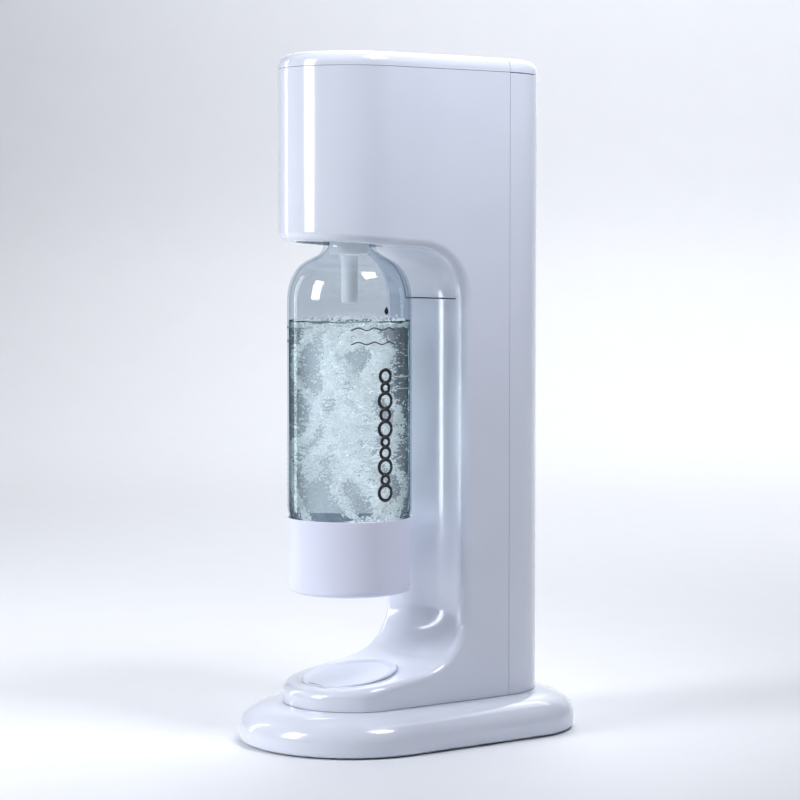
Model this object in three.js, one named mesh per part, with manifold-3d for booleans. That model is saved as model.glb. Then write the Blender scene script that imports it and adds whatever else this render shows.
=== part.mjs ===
// A slim soda carbonator: a C-shaped housing on a crowned foot plate, with a bottle hung under its head and
// a gas cylinder upright behind a rear cover.
// Millimetres: x across, y from the front (-) to the back (+), z up.
// Every part is drawn about the bottle's axis, and one group then centres the whole machine on its base.
import * as THREE from 'three';
import { mergeVertices } from 'three/addons/utils/BufferGeometryUtils.js';
import Module from 'manifold-3d';

const wasm = await Module();
wasm.setup();

// ---- driving dimensions ----
const HALF_WIDTH = 48;
const FOOT_DEPTH = 45;
const COVER_SEAM_Y = 100;
const BODY_FLOOR_Z = 26;
const TOP_SEAM_Z = 453.5;
const TOP_Z = 463.5;
const WALL = 2.5;
const GAP = 0.3;

const BASE_HALF_WIDTH = 76.8;
const BASE_FRONT_Y = -75.5;
const BASE_REAR_Y = 170.5;
const BASE_REAR_CENTRE_Y = 110;
const BASE_BEVEL_WIDTH = 24;
const BASE_BEVEL_HEIGHT = 13;
const BASE_WALL = 5.3;
const BASE_RIM_Z = 1;
const FOOT_PAD_HEIGHT = 3.2;
const FOOT_PAD_RADIUS = 9;

const COLUMN_FACE_Y = 63;
const UPPER_CORNER = { y: 27, z: 298.5, radius: 36 };
const LOWER_CORNER = { y: 26.5, z: 85, radius: 36.5 };
const UNDERSIDE_SLOPE = THREE.MathUtils.degToRad(3.7);
const FOOT_TURN_END = THREE.MathUtils.degToRad(-73);
const FOOT_BEND = { run: 18, z: 44.6 };
const FOOT_CREST = { y: -47, z: 38.3 };
const FOOT_TIP_Z = 34;
const BAY_FRONT_Y = -90;
const TROUGH_CUT_HALF_WIDTH = 43.4;
const TROUGH_DEPTH = 9;
const TROUGH_LIFT = 0.6;
const TROUGH_VOID = 4;
const TROUGH_UPPER_END = 80;
const TROUGH_LOWER_END = -64;
const TROUGH_CORNER_STEPS = 8;
const TROUGH_COLUMNS = 14;

const BOTTLE_RADIUS = 42.5;
const BOTTLE_BOTTOM_Z = 101;
const CUP_TOP_Z = 152.4;
const NECK_RADIUS = 17.5;
const MOUTH_Z = 360;
const PET_WALL = 1;

const TILT_AXIS_Z = 352;
const SHIELD_HALF_WIDTH = 29;
const SHIELD_BOTTOM_Z = 300;
const SHIELD_WAY_TOP_Z = 346;
const SHIELD_THICKNESS = 2.5;
const SHIELD_GAP = 0.8;
const SHIELD_LIP_THICKNESS = 0.5;
const SHIELD_LIP_HEIGHT = 3;
const NECK_WAY_Y = -4;
const NECK_WAY_RADIUS = 33;
const FRAME_Z = 404;
const FRAME_THICKNESS = 3;
const LEVER_AXIS_Y = 136;
const LEVER_AXIS_Z = 426;
const LEVER_BORE_RADIUS = 2.9;
const TILT_BORE_RADIUS = 3.4;
const TONGUE_HEIGHTS = [70, 235, 400];
const TONGUE_LENGTH = 24;
const SCREW_HEAD_RADIUS = 4;
const SCREW_SHANK_RADIUS = 1.7;
const SCREW_SOCKET_RADIUS = 1.6;
const SCREW_HOLE_RADIUS = 2.1;
const BUTTON_RADIUS = 27.5;

const CYLINDER_Y = 112;
const CYLINDER_RADIUS = 30;
const CYLINDER_BOTTOM_Z = 26;
const CYLINDER_TOP_Z = 398;

const DISH_RADIUS = 33;
const DISH_CENTRE_Z = 43.6;
const DISH_TILT = THREE.MathUtils.degToRad(9.5);

// ---- finishes ----
const FINISHES = {
  shell: { color: 0xe4e7f4, roughness: 0.18, metalness: 0 },
  grey: { color: 0x8c9098, roughness: 0.5, metalness: 0 },
  dark: { color: 0x2c2e33, roughness: 0.55, metalness: 0 },
  rubber: { color: 0x1d1e20, roughness: 0.85, metalness: 0 },
  clear: { color: 0xdde6ea, roughness: 0.05, metalness: 0 },
  steel: { color: 0xb9bcc0, roughness: 0.3, metalness: 1 },
  brass: { color: 0xc9a45a, roughness: 0.3, metalness: 1 },
  gas: { color: 0x5f7f9f, roughness: 0.4, metalness: 0.3 },
};

// a reach past every outline, for cutters that must pass right through
const FAR = 200;

const machine = new THREE.Group();
machine.position.y = -(BASE_FRONT_Y + BASE_REAR_Y) / 2;

// ---- solids: a THREE geometry becomes a manifold to be joined or cut, and comes back as a mesh ----
function solid(geometry) {
  const bare = geometry.clone();
  bare.deleteAttribute('normal');
  bare.deleteAttribute('uv');
  const merged = mergeVertices(bare, 1e-4);
  const vertProperties = new Float32Array(merged.attributes.position.array);
  const triVerts = new Uint32Array(merged.index.array);
  return new wasm.Manifold(new wasm.Mesh({ numProp: 3, vertProperties, triVerts }));
}

function addPart(name, body, finish) {
  const result = body.getMesh();
  const geometry = new THREE.BufferGeometry();
  geometry.setAttribute('position', new THREE.BufferAttribute(result.vertProperties, 3));
  geometry.setIndex(new THREE.BufferAttribute(result.triVerts, 1));
  geometry.computeVertexNormals();
  const mesh = new THREE.Mesh(geometry, new THREE.MeshStandardMaterial(FINISHES[finish]));
  mesh.name = name;
  machine.add(mesh);
}

function box(low, high) {
  const size = high.map((value, axis) => value - low[axis]);
  const geometry = new THREE.BoxGeometry(...size);
  geometry.translate(...low.map((value, axis) => value + size[axis] / 2));
  return solid(geometry);
}

// An upright round post at (x, y), from z0 to z1.
function post(x, y, z0, z1, radius, sides = 24) {
  const geometry = new THREE.CylinderGeometry(radius, radius, z1 - z0, sides);
  geometry.rotateX(Math.PI / 2);
  geometry.translate(x, y, (z0 + z1) / 2);
  return solid(geometry);
}

// A round bar across the machine, from x0 to x1.
function crossBar(x0, x1, y, z, radius, sides = 24) {
  const geometry = new THREE.CylinderGeometry(radius, radius, x1 - x0, sides);
  geometry.rotateZ(Math.PI / 2);
  geometry.translate((x0 + x1) / 2, y, z);
  return solid(geometry);
}

// A turned part about an upright axis through (0, y): pairs of radius and height.
function turned(profile, y = 0, sides = 48) {
  const points = profile.map(([radius, z]) => new THREE.Vector2(radius, z));
  const geometry = new THREE.LatheGeometry(points, sides);
  geometry.rotateX(Math.PI / 2);
  geometry.translate(0, y, 0);
  return solid(geometry);
}

// The low and high x of a block that lies between two distances from the middle, on one side of it.
function sideSpan(side, near, far) {
  return side > 0 ? [near, far] : [-far, -near];
}

// A plan outline pushed up from z0 to z1.
function prism(shape, z0, z1, curveSegments = 11) {
  const geometry = new THREE.ExtrudeGeometry(shape, { depth: z1 - z0, bevelEnabled: false, curveSegments });
  geometry.translate(0, 0, z0);
  return solid(geometry);
}

// A side outline, drawn in y and z, pushed across from x0 to x1.
function sidePrism(shape, x0, x1, curveSegments = 6) {
  const geometry = new THREE.ExtrudeGeometry(shape, { depth: x1 - x0, bevelEnabled: false, curveSegments });
  const across = new THREE.Matrix4();
  across.makeBasis(new THREE.Vector3(0, 1, 0), new THREE.Vector3(0, 0, 1), new THREE.Vector3(1, 0, 0));
  geometry.applyMatrix4(across);
  geometry.translate(x0, 0, 0);
  return solid(geometry);
}

// ---- shared outlines ----
// The body in plan: straight flanks between a round nose and a round back, each as deep as given.
function bodyPlan(inset = 0, noseDepth = HALF_WIDTH) {
  const half = HALF_WIDTH - inset;
  const nose = noseDepth - inset;
  const shape = new THREE.Shape();
  shape.absellipse(0, 0, half, nose, Math.PI, 2 * Math.PI, false, 0);
  shape.lineTo(half, COVER_SEAM_Y);
  shape.absellipse(0, COVER_SEAM_Y, half, half, 0, Math.PI, false, 0);
  shape.closePath();
  return shape;
}

function basePlan(inset) {
  const half = BASE_HALF_WIDTH - inset;
  const nose = -BASE_FRONT_Y - inset;
  const tail = BASE_REAR_Y - BASE_REAR_CENTRE_Y - inset;
  const shape = new THREE.Shape();
  shape.absellipse(0, 0, half, nose, Math.PI, 2 * Math.PI, false, 0);
  shape.absellipse(0, BASE_REAR_CENTRE_Y, half, tail, 0, Math.PI, false, 0);
  shape.closePath();
  return shape;
}

// The bottle bay seen from the side, grown into the plastic by an offset: the sloping underside of the head,
// the round upper corner, the column's face, the round lower corner and the rising top of the foot.
function bayOutline(grow) {
  const upper = UPPER_CORNER;
  const lower = LOWER_CORNER;
  const upperRadius = upper.radius + grow;
  const lowerRadius = lower.radius + grow;
  const startAngle = Math.PI / 2 - UNDERSIDE_SLOPE;
  const startY = upper.y + upperRadius * Math.cos(startAngle);
  const startZ = upper.z + upperRadius * Math.sin(startAngle);
  const endY = lower.y + lowerRadius * Math.cos(FOOT_TURN_END);
  const shape = new THREE.Shape();
  shape.moveTo(BAY_FRONT_Y, startZ + (startY - BAY_FRONT_Y) * Math.tan(UNDERSIDE_SLOPE));
  shape.lineTo(startY, startZ);
  shape.absarc(upper.y, upper.z, upperRadius, startAngle, 0, true);
  shape.lineTo(COLUMN_FACE_Y + grow, lower.z);
  shape.absarc(lower.y, lower.z, lowerRadius, 0, FOOT_TURN_END, true);
  shape.quadraticCurveTo(endY - FOOT_BEND.run, FOOT_BEND.z - grow, FOOT_CREST.y, FOOT_CREST.z - grow);
  shape.lineTo(BAY_FRONT_Y, FOOT_TIP_Z - grow);
  shape.closePath();
  return shape;
}

// The shallow concave trough down the bay's back. It follows the bay's side outline, sinks into the plastic
// between its two lips, and fades out along both of the bay's round corners.
function troughCutter(grow) {
  const rows = [];
  const sweep = (corner, from, to, fade) => {
    for (let step = 0; step <= TROUGH_CORNER_STEPS; step += 1) {
      const turn = THREE.MathUtils.degToRad(from + ((to - from) * step) / TROUGH_CORNER_STEPS);
      const fading = (Math.PI / 2) * (turn / THREE.MathUtils.degToRad(fade));
      const depth = TROUGH_DEPTH * Math.cos(fading) ** 2;
      rows.push({ corner, ny: Math.cos(turn), nz: Math.sin(turn), depth });
    }
  };
  sweep(UPPER_CORNER, TROUGH_UPPER_END, 0, TROUGH_UPPER_END);
  sweep(LOWER_CORNER, 0, TROUGH_LOWER_END, TROUGH_LOWER_END);

  const columns = TROUGH_COLUMNS + 1;
  const back = rows.length * columns;
  const positions = [];
  for (const inVoid of [false, true]) {
    for (const { corner, ny, nz, depth } of rows) {
      for (let column = 0; column < columns; column += 1) {
        const x = TROUGH_CUT_HALF_WIDTH * ((2 * column) / TROUGH_COLUMNS - 1);
        const bowl = 1 - (x / TROUGH_CUT_HALF_WIDTH) ** 2;
        const sink = inVoid ? -TROUGH_VOID : grow + (depth + TROUGH_LIFT - 0.1) * bowl - TROUGH_LIFT;
        const reach = corner.radius + sink;
        positions.push(x, corner.y + reach * ny, corner.z + reach * nz);
      }
    }
  }

  const index = [];
  const quad = (a, b, c, d) => index.push(a, b, c, a, c, d);
  for (let row = 0; row < rows.length - 1; row += 1) {
    for (let column = 0; column < columns - 1; column += 1) {
      const a = row * columns + column;
      const d = a + columns;
      quad(a, a + 1, d + 1, d);
      quad(back + d, back + d + 1, back + a + 1, back + a);
    }
    const left = row * columns;
    const right = left + columns - 1;
    quad(left, left + columns, back + left + columns, back + left);
    quad(right + columns, right, back + right, back + right + columns);
  }
  const last = (rows.length - 1) * columns;
  for (let column = 0; column < columns - 1; column += 1) {
    quad(column + 1, column, back + column, back + column + 1);
    quad(last + column, last + column + 1, back + last + column + 1, back + last + column);
  }
  const geometry = new THREE.BufferGeometry();
  geometry.setAttribute('position', new THREE.Float32BufferAttribute(positions, 3));
  geometry.setIndex(index);
  return solid(geometry);
}

// The bay as a solid to cut away, grown by an offset.
function bayCutter(grow) {
  const span = HALF_WIDTH + 12;
  return sidePrism(bayOutline(grow), -span, span).add(troughCutter(grow));
}

// ---- foot plate ----
function crownedBase(inset, topZ) {
  const shape = basePlan(BASE_BEVEL_WIDTH + inset);
  const geometry = new THREE.ExtrudeGeometry(shape, {
    depth: 20,
    bevelThickness: BASE_BEVEL_HEIGHT,
    bevelSize: BASE_BEVEL_WIDTH,
    bevelSegments: 4,
    curveSegments: 11,
  });
  geometry.translate(0, 0, topZ - 20 - BASE_BEVEL_HEIGHT);
  return solid(geometry);
}

const padSpots = [[-48, -18], [48, -18], [-48, 118], [48, 118]];
const screwSpots = [[-37, 18], [37, 18], [-37, 78], [37, 78]];

function basePlate() {
  const below = box([-FAR, -FAR, -40], [FAR, FAR, BASE_RIM_Z]);
  const hollow = crownedBase(BASE_WALL, BODY_FLOOR_Z - WALL).intersect(box([-FAR, -FAR, -9], [FAR, FAR, 60]));
  let body = crownedBase(0, BODY_FLOOR_Z).subtract(below).subtract(hollow);
  body = body.subtract(post(0, CYLINDER_Y, 10, 40, CYLINDER_RADIUS + 3, 40));
  for (const [x, y] of screwSpots) body = body.subtract(post(x, y, 10, 40, 2.4, 16));
  addPart('base_plate', body, 'shell');
}

function baseBottomCover() {
  let body = prism(basePlan(BASE_WALL + 2 * GAP), BASE_RIM_Z + 0.2, FOOT_PAD_HEIGHT + 0.2, 11);
  for (const [x, y] of padSpots) body = body.subtract(post(x, y, -2, 6, FOOT_PAD_RADIUS + GAP, 20));
  addPart('base_bottom_cover', body, 'grey');
}

function rubberFeet() {
  const places = ['front_left', 'front_right', 'rear_left', 'rear_right'];
  padSpots.forEach(([x, y], index) => {
    addPart(`rubber_foot_${places[index]}`, post(x, y, 0, FOOT_PAD_HEIGHT, FOOT_PAD_RADIUS, 20), 'rubber');
  });
  const restZ = FOOT_PAD_HEIGHT + 0.2 + GAP;
  addPart('cylinder_rest_pad', post(0, CYLINDER_Y, restZ, restZ + 4, 26, 32), 'rubber');
}

function screw(name, x, y, headZ, shankTop) {
  const head = post(x, y, headZ, headZ + 2.6, SCREW_HEAD_RADIUS, 16);
  const socket = post(x, y, headZ - 1, headZ + 1.4, SCREW_SOCKET_RADIUS, 6);
  const shank = post(x, y, headZ + 2, shankTop, SCREW_SHANK_RADIUS, 12);
  addPart(name, head.add(shank).subtract(socket), 'steel');
}

// ---- main housing ----
const frameBosses = [[-38, -14], [38, -14], [-38, 46], [38, 46]];

function mainHousing() {
  const middle = 200;
  const head = prism(bodyPlan(0), middle, TOP_SEAM_Z);
  const foot = prism(bodyPlan(0, FOOT_DEPTH), BODY_FLOOR_Z + GAP, middle);
  const headHollow = prism(bodyPlan(WALL), middle - 1, TOP_SEAM_Z + 5);
  const footHollow = prism(bodyPlan(WALL, FOOT_DEPTH), BODY_FLOOR_Z - 5, middle);
  const hollow = headHollow.add(footHollow).subtract(bayCutter(WALL));
  let body = head.add(foot).subtract(bayCutter(0)).subtract(hollow);
  body = body.subtract(box([-60, COVER_SEAM_Y - GAP / 2, 0], [60, 160, 500]));
  for (const [x, y] of screwSpots) {
    const boss = post(x, y, BODY_FLOOR_Z + GAP, 48, 4.6, 16);
    const rib = box([Math.min(x, x * 1.25), y - 1, BODY_FLOOR_Z + GAP], [Math.max(x, x * 1.25), y + 1, 42]);
    body = body.add(boss.add(rib).subtract(bayCutter(0.5)));
    body = body.subtract(post(x, y, 20, 38, SCREW_HOLE_RADIUS, 12));
  }
  for (const [x, y] of frameBosses) {
    body = body.add(post(x, y, 318, FRAME_Z - GAP, 4.4, 16).subtract(bayCutter(0.5)));
    body = body.subtract(post(x, y, FRAME_Z - 16, FRAME_Z + 5, SCREW_HOLE_RADIUS, 12));
  }
  // the way up into the head for the bottle holder, and its back shield's window in the upper corner
  const neckWay = post(0, NECK_WAY_Y, 320, 350, NECK_WAY_RADIUS, 40);
  const wayHalf = SHIELD_HALF_WIDTH + SHIELD_GAP;
  const shieldWay = box([-wayHalf, 0, SHIELD_BOTTOM_Z - SHIELD_GAP], [wayHalf, 80, SHIELD_WAY_TOP_Z]);
  body = body.subtract(neckWay).subtract(shieldWay);
  // the seat of the drip dish in the foot
  body = body.subtract(tilted(post(0, 0, -0.6, 20, DISH_RADIUS + GAP, 48)));
  const seatRing = post(0, 0, -3.2, -0.6, DISH_RADIUS + 2.4, 48).subtract(post(0, 0, -9, 9, 20, 32));
  body = body.add(tilted(seatRing));
  addPart('main_housing', body, 'shell');
}

// Lays a piece drawn about the origin on the rising top of the foot, below the bottle.
function tilted(piece) {
  const degrees = THREE.MathUtils.radToDeg(DISH_TILT);
  return piece.rotate([degrees, 0, 0]).translate([0, 0, DISH_CENTRE_Z]);
}

function dripDish() {
  const rim = DISH_RADIUS;
  const profile = [[0, -0.2], [rim - 0.4, -0.2], [rim, 0.2], [rim, 1.2], [rim - 0.8, 1.7], [rim - 2, 1.4],
    [rim - 8, 0.8], [rim - 18, 0.55], [0, 0.5]];
  addPart('drip_dish', tilted(turned(profile, 0, 36)), 'shell');
}

// ---- rear cover and top ----
function rearCover() {
  const frontY = COVER_SEAM_Y + GAP / 2;
  const top = TOP_SEAM_Z - GAP;
  let body = prism(bodyPlan(0), BODY_FLOOR_Z + GAP, top).subtract(prism(bodyPlan(WALL), 0, 500));
  body = body.subtract(box([-60, -60, 0], [60, frontY, 500]));
  for (const side of [-1, 1]) {
    const tongue = sideSpan(side, HALF_WIDTH - WALL - 3, HALF_WIDTH - WALL - GAP);
    const root = sideSpan(side, HALF_WIDTH - WALL - 3, HALF_WIDTH - 1);
    for (const z of TONGUE_HEIGHTS) {
      body = body.add(box([tongue[0], frontY - 7, z], [tongue[1], frontY + 0.5, z + TONGUE_LENGTH]));
      body = body.add(box([root[0], frontY, z], [root[1], frontY + 4, z + TONGUE_LENGTH]));
    }
  }
  const rearY = COVER_SEAM_Y + HALF_WIDTH;
  const gripOuter = box([-20, rearY - 9, 372], [20, rearY, 396]).subtract(box([-60, 0, 0], [60, 130, 500]));
  body = body.add(gripOuter.intersect(prism(bodyPlan(0), 0, 500)));
  body = body.subtract(box([-17.5, rearY - 6.5, 374.5], [17.5, rearY + 5, 393.5]));
  addPart('rear_cover', body, 'shell');
}

function roundedCap(inset, topZ, radius) {
  const shape = bodyPlan(inset + radius);
  const geometry = new THREE.ExtrudeGeometry(shape, {
    depth: 20,
    bevelThickness: radius,
    bevelSize: radius,
    bevelSegments: 3,
    curveSegments: 11,
  });
  geometry.translate(0, 0, topZ - 20 - radius);
  return solid(geometry);
}

function capShell() {
  const shell = roundedCap(0, TOP_Z, 8).subtract(roundedCap(WALL, TOP_Z - WALL, 5.5));
  return shell.subtract(box([-60, -60, 300], [60, 160, TOP_SEAM_Z + GAP]));
}

function topCover() {
  let body = capShell().subtract(box([-60, COVER_SEAM_Y - GAP / 2, 0], [60, 160, 500]));
  body = body.subtract(post(0, 0, 440, 480, BUTTON_RADIUS + 0.6, 36));
  addPart('top_cover', body, 'shell');
}

function rearCap() {
  addPart('rear_cap', capShell().subtract(box([-60, -60, 0], [60, COVER_SEAM_Y + GAP / 2, 500])), 'shell');
}

// ---- frame, lever and button ----
function innerFrame() {
  const top = FRAME_Z + FRAME_THICKNESS;
  let body = box([-41, -18.4, FRAME_Z], [41, 88, top]);
  body = body.add(box([-18, 80, FRAME_Z], [18, 141, top]));
  for (const side of [-1, 1]) {
    const [inner, outer] = sideSpan(side, 31.6, 35);
    const hanger = box([inner, -8, TILT_AXIS_Z - 8], [outer, 8, FRAME_Z + 1]);
    body = body.add(hanger.subtract(crossBar(inner - 3, outer + 3, 0, TILT_AXIS_Z, TILT_BORE_RADIUS)));
    const [low, high] = sideSpan(side, 12, 16);
    const ear = box([low, LEVER_AXIS_Y - 7, top - 1], [high, LEVER_AXIS_Y + 5, LEVER_AXIS_Z + 7]);
    const bore = crossBar(low - 3, high + 3, LEVER_AXIS_Y, LEVER_AXIS_Z, LEVER_BORE_RADIUS);
    body = body.add(ear.subtract(bore));
  }
  body = body.subtract(post(0, CYLINDER_Y, FRAME_Z - 5, top + 5, 9 + GAP, 28));
  body = body.subtract(post(0, 4, FRAME_Z - 5, top + 5, 6, 24));
  for (const [x, y] of frameBosses) body = body.subtract(post(x, y, FRAME_Z - 5, top + 5, 2.3, 12));
  addPart('inner_frame', body, 'dark');
}

function frameScrews() {
  frameBosses.forEach(([x, y], index) => {
    const top = FRAME_Z + FRAME_THICKNESS + GAP;
    const head = post(x, y, top, top + 2.6, SCREW_HEAD_RADIUS, 16);
    const socket = post(x, y, top + 1.2, top + 5, SCREW_SOCKET_RADIUS, 6);
    const shank = post(x, y, FRAME_Z - 12, top + 1, SCREW_SHANK_RADIUS, 12);
    addPart(`frame_screw_${index + 1}`, head.subtract(socket).add(shank), 'steel');
  });
}

function pressLever() {
  const shape = new THREE.Shape();
  shape.moveTo(-9, 421);
  shape.lineTo(104, 421);
  shape.lineTo(108, 418.4);
  shape.lineTo(116, 418.4);
  shape.lineTo(120, 420);
  shape.lineTo(LEVER_AXIS_Y, 420);
  shape.absarc(LEVER_AXIS_Y, LEVER_AXIS_Z, 6, -Math.PI / 2, Math.PI / 2, false);
  shape.lineTo(60, 432);
  shape.lineTo(-9, 426);
  shape.closePath();
  let body = sidePrism(shape, -8, 8, 8);
  body = body.subtract(crossBar(-20, 20, LEVER_AXIS_Y, LEVER_AXIS_Z, LEVER_BORE_RADIUS));
  addPart('press_lever', body, 'steel');
  addPart('lever_pin', crossBar(-17.5, 17.5, LEVER_AXIS_Y, LEVER_AXIS_Z, 2.5), 'steel');
}

function springCoil(radius, wire, z0, z1, turns) {
  class Helix extends THREE.Curve {
    getPoint(t, target = new THREE.Vector3()) {
      const angle = 2 * Math.PI * turns * t;
      return target.set(radius * Math.cos(angle), radius * Math.sin(angle), z0 + (z1 - z0) * t);
    }
  }
  const section = new THREE.Shape().absarc(0, 0, wire, 0, 2 * Math.PI, false);
  const options = { steps: turns * 10, bevelEnabled: false, extrudePath: new Helix(), curveSegments: 3 };
  return solid(new THREE.ExtrudeGeometry(section, options));
}

function buttonAndSpring() {
  const r = BUTTON_RADIUS;
  const cap = turned([[0, 458.5], [r - 2.5, 458.5], [r - 2.5, 454.5], [r, 454.5], [r, 463], [r - 1.6, 464.6],
    [r - 12, 465.1], [0, 465.3]], 0, 36);
  const stem = post(0, 0, 427.5 + GAP, 459, 7, 20);
  addPart('carbonating_button', cap.add(stem), 'shell');
  addPart('button_spring', springCoil(5, 0.6, FRAME_Z + FRAME_THICKNESS + 1, 420, 4), 'steel');
}

// ---- gas side ----
function gasValve() {
  const top = FRAME_Z + FRAME_THICKNESS;
  const profile = [[2.6, top + 7], [2.6, 400.5], [11, 400.5], [11, 384], [15, 384], [15, FRAME_Z - GAP],
    [9, FRAME_Z - GAP], [9, top + 7], [2.6, top + 7]];
  addPart('gas_valve_body', turned(profile, CYLINDER_Y, 24), 'brass');
  const nut = [[10.9, top + GAP], [14.5, top + GAP], [14.5, top + 5], [10.9, top + 5], [10.9, top + GAP]];
  addPart('gas_valve_nut', turned(nut, CYLINDER_Y, 6), 'steel');
  const washer = [[4, 398.4], [10, 398.4], [10, 400.2], [4, 400.2], [4, 398.4]];
  addPart('cylinder_seal', turned(washer, CYLINDER_Y, 20), 'rubber');
  addPart('valve_pin', post(0, CYLINDER_Y, 401, 418, 2, 16), 'steel');
}

function gasCylinder() {
  const r = CYLINDER_RADIUS;
  const z = CYLINDER_BOTTOM_Z;
  const wall = [[0, z + 4], [14, z + 2.2], [22, z], [26, z + 0.6], [r - 0.8, z + 4], [r, z + 8], [r, 332],
    [r - 1.6, 341], [r - 6, 350], [r - 12, 356], [14, 359], [13.5, 366], [0, 366]];
  addPart('co2_cylinder', turned(wall, CYLINDER_Y, 32), 'gas');
  const valve = [[0, 366.3], [12, 366.3], [13.4, 368], [13.4, 380], [12, 382], [10.4, 382.4], [10.4, 397],
    [9.6, CYLINDER_TOP_Z], [3, CYLINDER_TOP_Z], [2.4, 392], [0, 392]];
  addPart('cylinder_valve', turned(valve, CYLINDER_Y, 24), 'brass');
}

function gasHose() {
  const route = new THREE.CatmullRomCurve3([
    new THREE.Vector3(0, CYLINDER_Y - 15.5, 392),
    new THREE.Vector3(2, CYLINDER_Y - 22, 392),
    new THREE.Vector3(10, 80, 394),
    new THREE.Vector3(16, 62, 396),
    new THREE.Vector3(15, 44, 392),
    new THREE.Vector3(8, 32, 384),
    new THREE.Vector3(0, 27, 378),
  ]);
  const section = new THREE.Shape().absarc(0, 0, 2.6, 0, 2 * Math.PI, false);
  const options = { steps: 24, bevelEnabled: false, extrudePath: route, curveSegments: 5 };
  addPart('gas_hose', solid(new THREE.ExtrudeGeometry(section, options)), 'dark');
}

// ---- tilting bottle holder ----
function bottleHolder() {
  const ring = turned([[19.2, 339], [26, 339], [27, 341], [27, 361], [19.2, 361], [19.2, 339]], 0, 40);
  const band = bayCutter(SHIELD_THICKNESS + 0.1).subtract(bayCutter(0.1));
  const keep = box([-SHIELD_HALF_WIDTH, 8, SHIELD_BOTTOM_Z], [SHIELD_HALF_WIDTH, 80, SHIELD_WAY_TOP_Z]);
  // the shield's bottom edge is thinned from behind, so it swings out past the housing
  const lipTop = SHIELD_BOTTOM_Z + SHIELD_LIP_HEIGHT;
  const rebate = box([-FAR, 0, 0], [FAR, FAR, lipTop]).subtract(bayCutter(0.1 + SHIELD_LIP_THICKNESS));
  const shield = band.intersect(keep).subtract(rebate).subtract(post(0, 0, 300, 400, 22, 32));
  let body = ring.add(shield);
  body = body.add(box([-27, 12, 336.2], [27, 24, 345]).subtract(post(0, 0, 300, 400, 22, 32)));
  for (const side of [-1, 1]) {
    const [low, high] = sideSpan(side, 24, 31);
    const ear = box([low, -6, TILT_AXIS_Z - 7], [high, 6, TILT_AXIS_Z + 8]);
    body = body.add(ear.subtract(post(0, 0, 300, 400, 22, 32)));
    const bore = sideSpan(side, 27.2, 40);
    body = body.subtract(crossBar(bore[0], bore[1], 0, TILT_AXIS_Z, TILT_BORE_RADIUS));
    const pin = sideSpan(side, 27.6, 36);
    const name = side < 0 ? 'tilt_pin_left' : 'tilt_pin_right';
    addPart(name, crossBar(pin[0], pin[1], 0, TILT_AXIS_Z, 3), 'steel');
  }
  addPart('bottle_holder', body, 'shell');
}

function nozzleGroup() {
  const washer = [[12, MOUTH_Z + GAP], [18.4, MOUTH_Z + GAP], [18.4, MOUTH_Z + 2.4], [12, MOUTH_Z + 2.4],
    [12, MOUTH_Z + GAP]];
  addPart('bottle_seal', turned(washer, 0, 24), 'rubber');
  const z = MOUTH_Z + 2.4 + GAP;
  const block = [[8 + GAP, z], [24, z], [24, z + 9], [20, z + 14], [0, z + 14], [0, z + 6], [8 + GAP, z + 6],
    [8 + GAP, z]];
  addPart('nozzle_block', turned(block, 0, 28), 'grey');
  const tube = [[1.2, 297.5], [4.2, 297], [5, 299], [5, 324], [8, 328], [8, z + 5.7], [1.2, z + 5.7],
    [1.2, 297.5]];
  addPart('carbonating_nozzle', turned(tube, 0, 20), 'shell');
  const valve = [[0, z + 14 + GAP], [5, z + 14 + GAP], [5, z + 22], [3, z + 24], [0, z + 24]];
  addPart('relief_valve', turned(valve, 0, 20).translate([11, 0, 0]), 'brass');
}

// ---- bottle ----
function bottle() {
  const r = BOTTLE_RADIUS - 0.5;
  const w = PET_WALL;
  const foot = BOTTLE_BOTTOM_Z + 2.6;
  const waist = r - 1.1;
  const n = NECK_RADIUS;
  const outer = [[0, foot + 5], [26, foot], [34, foot + 1], [waist - 1, foot + 8], [waist, foot + 16],
    [waist, CUP_TOP_Z - 1], [r, CUP_TOP_Z + 3], [r, 299], [r - 1.2, 308.5], [r - 5, 317.6], [r - 11.2, 324.4],
    [22, 329.4], [n, 335], [n, 353], [n + 1.1, 354], [n + 1.1, 358], [n, MOUTH_Z]];
  const inner = [[14.2, MOUTH_Z], [14.2, 335], [r - 19, 327], [r - 10, 321.6], [r - 2.8, 309.6], [r - w, 299],
    [r - w, CUP_TOP_Z + 3], [waist - w, CUP_TOP_Z - 1], [waist - w, foot + 16], [34 - w, foot + 2.2],
    [26, foot + w], [0, foot + 6]];
  addPart('bottle', turned(outer.concat(inner), 0, 40), 'clear');
}

function bottleBaseCup() {
  const r = BOTTLE_RADIUS;
  const z = BOTTLE_BOTTOM_Z;
  const inside = r - 1.2;
  const cup = [[0, z + 1], [32, z + 0.6], [36.5, z], [r - 1.6, z + 1.6], [r - 0.9, z + 5], [r, CUP_TOP_Z],
    [inside, CUP_TOP_Z], [inside, z + 17], [inside - 1.6, z + 9], [34.5, z + 2.2], [0, z + 2.2]];
  addPart('bottle_base_cup', turned(cup, 0, 40), 'shell');
}

// ---- assembly ----
basePlate();
baseBottomCover();
rubberFeet();
screwSpots.forEach(([x, y], index) => screw(`base_screw_${index + 1}`, x, y, 20.4, 36));
mainHousing();
dripDish();
rearCover();
topCover();
rearCap();
innerFrame();
frameScrews();
pressLever();
buttonAndSpring();
gasValve();
gasCylinder();
gasHose();
bottleHolder();
nozzleGroup();
bottle();
bottleBaseCup();

export default machine;
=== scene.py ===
import math

import bmesh
import bpy
import numpy as np
from mathutils import Euler, Matrix, Vector


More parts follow.
